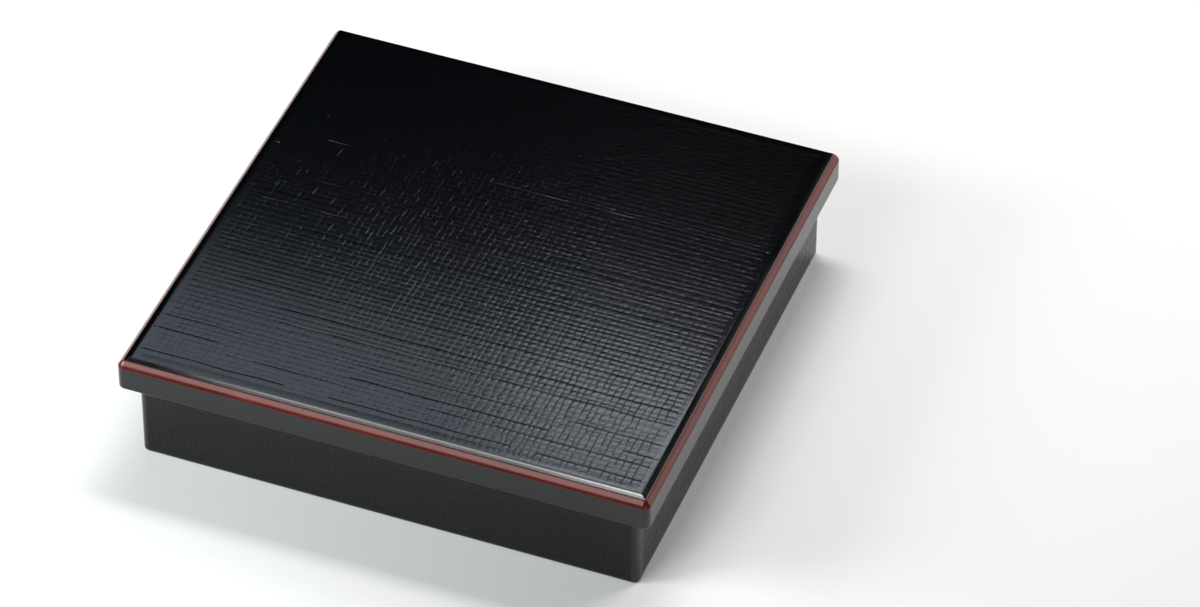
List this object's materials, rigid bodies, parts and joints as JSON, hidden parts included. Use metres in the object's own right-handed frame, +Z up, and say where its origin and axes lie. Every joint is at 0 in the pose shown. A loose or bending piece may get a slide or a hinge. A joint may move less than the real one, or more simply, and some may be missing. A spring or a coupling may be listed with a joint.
{
  "type": "lacquered meal box",
  "caption": "Square black lacquer meal box with cloth-textured faces, vermilion edges, an overhanging lift-off lid and a lift-out cross divider.",
  "frame": {"origin": "centre of the plane that the box stands on", "axes": "+X to the right along the front wall, +Y towards the back, +Z up out of the box, the way the lid lifts off"},
  "size_m": [0.258, 0.258, 0.059],
  "materials": {
    "black_lacquered_board": "gloss black lacquer over wood",
    "lacquered_cloth": "black lacquer over coarse cloth, semi-gloss",
    "vermilion_edging": "gloss vermilion lacquer over wood",
    "plain_wood": "bare wood, hidden in the joints"
  },
  "bodies": {
    "box": {"base_board": "black_lacquered_board", "wall_front": "black_lacquered_board", "wall_cloth_front": "lacquered_cloth", "wall_edging_front": "vermilion_edging", "wall_right": "black_lacquered_board", "wall_cloth_right": "lacquered_cloth", "wall_edging_right": "vermilion_edging", "wall_back": "black_lacquered_board", "wall_cloth_back": "lacquered_cloth", "wall_edging_back": "vermilion_edging", "wall_left": "black_lacquered_board", "wall_cloth_left": "lacquered_cloth", "wall_edging_left": "vermilion_edging", "wall_tongue_front_right": "plain_wood", "wall_tongue_back_right": "plain_wood", "wall_tongue_back_left": "plain_wood", "wall_tongue_front_left": "plain_wood"},
    "divider": {"divider_slat_across": "black_lacquered_board", "divider_slat_deep": "black_lacquered_board"},
    "lid": {"lid_panel": "black_lacquered_board", "lid_panel_cloth": "lacquered_cloth", "lid_rim_front": "black_lacquered_board", "lid_edging_front": "vermilion_edging", "lid_rim_right": "black_lacquered_board", "lid_edging_right": "vermilion_edging", "lid_rim_back": "black_lacquered_board", "lid_edging_back": "vermilion_edging", "lid_rim_left": "black_lacquered_board", "lid_edging_left": "vermilion_edging", "lid_tongue_front_right": "plain_wood", "lid_tongue_back_right": "plain_wood", "lid_tongue_back_left": "plain_wood", "lid_tongue_front_left": "plain_wood"}
  },
  "joints": [
    {"name": "divider_lift", "type": "slide", "parent": "box", "child": "divider", "axis": [0, 0, 1], "range_m": [0, 0.06]},
    {"name": "lid_lift", "type": "slide", "parent": "divider", "child": "lid", "axis": [0, 0, 1], "range_m": [0, 0.1]}
  ]
}
